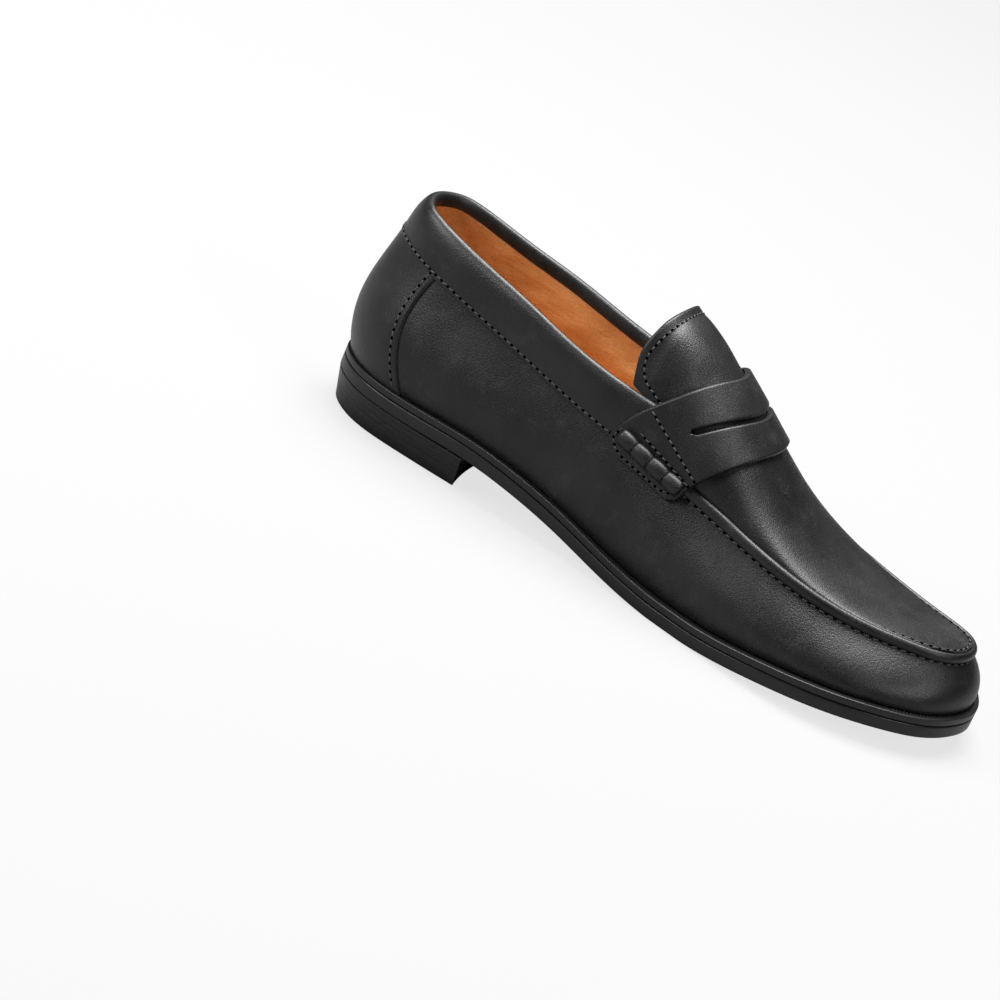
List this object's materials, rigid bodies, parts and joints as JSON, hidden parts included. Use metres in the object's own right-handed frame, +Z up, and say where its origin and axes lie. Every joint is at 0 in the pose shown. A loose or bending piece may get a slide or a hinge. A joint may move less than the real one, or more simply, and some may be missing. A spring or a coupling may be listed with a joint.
{
  "type": "penny loafer",
  "caption": "Right-foot slip-on moccasin shoe with a raised seam round the toe, a slotted saddle strap, a tongue flap and a stacked heel.",
  "frame": {"origin": "on the floor, at the middle of the shoe's footprint", "axes": "+Z up, +Y towards the heel, so the toe points to -Y, +X towards the inner side of the foot"},
  "size_m": [0.1044, 0.3038, 0.1048],
  "materials": {
    "black_leather": "satin black calf leather",
    "tan_leather": "tan lining leather",
    "sole": "matte black sole edge",
    "tread": "moulded black rubber",
    "fibre": "shoe fibreboard",
    "cork": "granulated cork",
    "steel": "plain steel",
    "thread": "waxed dark grey thread"
  },
  "bodies": {
    "shoe": {"outsole": "sole", "forepart_tread": "tread", "outsole_thread": "thread", "welt": "sole", "cork_filler": "cork", "waist_filler": "fibre", "shank": "steel", "insole_board": "fibre", "sock_liner": "tan_leather", "heel_lift_1": "sole", "heel_lift_2": "sole", "heel_lift_3": "sole", "top_lift_front": "tread", "top_lift_rear": "tread", "heel_pin_1": "steel", "heel_pin_2": "steel", "heel_pin_3": "steel", "heel_pin_4": "steel", "vamp": "black_leather", "counter_patch": "black_leather", "counter_stiffener": "fibre", "toe_puff": "fibre", "wall_lining": "tan_leather", "collar_band": "black_leather", "collar_lining": "tan_leather", "topline_binding": "black_leather", "heel_grip": "tan_leather", "topline_bead": "black_leather", "apron": "black_leather", "apron_lining": "tan_leather", "plug_ridge": "black_leather", "ridge_thread": "thread", "collar_thread": "thread", "saddle_strap": "black_leather", "strap_tab_outer": "black_leather", "strap_tab_inner": "black_leather", "beef_roll_outer": "black_leather", "beef_roll_inner": "black_leather"},
    "tongue_flap": {"tongue": "black_leather", "tongue_lining": "tan_leather"}
  },
  "joints": [
    {"name": "tongue_hinge", "type": "hinge", "parent": "shoe", "child": "tongue_flap", "pos_m": [0.00088, -0.00711, 0.08853], "axis": [1, 0, 0], "range_deg": [0, 20], "stiffness_Nm_per_rad": 0.05}
  ]
}
